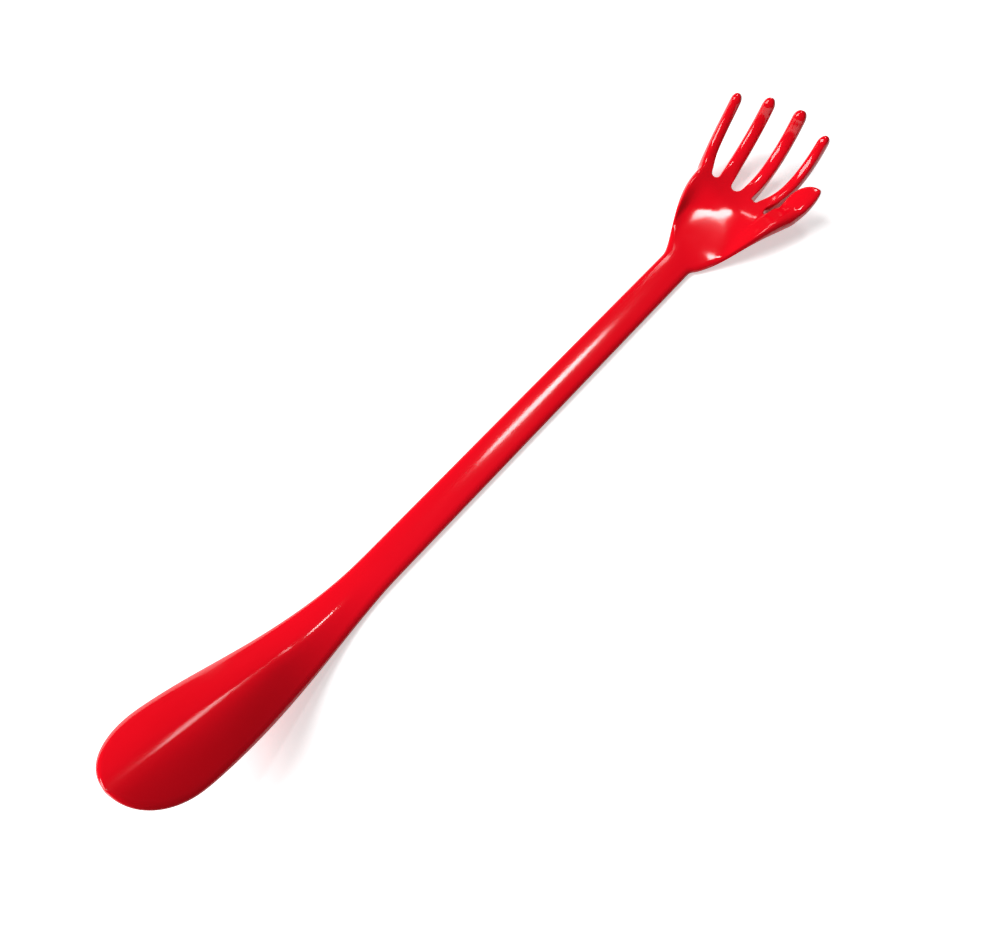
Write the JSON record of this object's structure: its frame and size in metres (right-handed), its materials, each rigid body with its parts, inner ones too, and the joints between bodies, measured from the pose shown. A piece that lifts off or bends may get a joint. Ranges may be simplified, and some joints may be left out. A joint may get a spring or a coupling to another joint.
{
  "type": "back scratcher with shoe horn",
  "caption": "Flat moulded plastic handle with a dished, curled scratching hand at its top and a bent, ridged shoe horn at its foot, all one piece.",
  "frame": {"origin": "middle of the handle's flat back, half way along its straight length and across its width", "axes": "+Y along the handle from the shoe horn to the finger tips, +X towards the thumb side, +Z out of the palm side; the part lies on its back with -Z down"},
  "size_m": [0.0759, 0.4761, 0.0532],
  "materials": {
    "moulding": "gloss"
  },
  "bodies": {
    "root": {"scratcher": "moulding"}
  },
  "joints": []
}
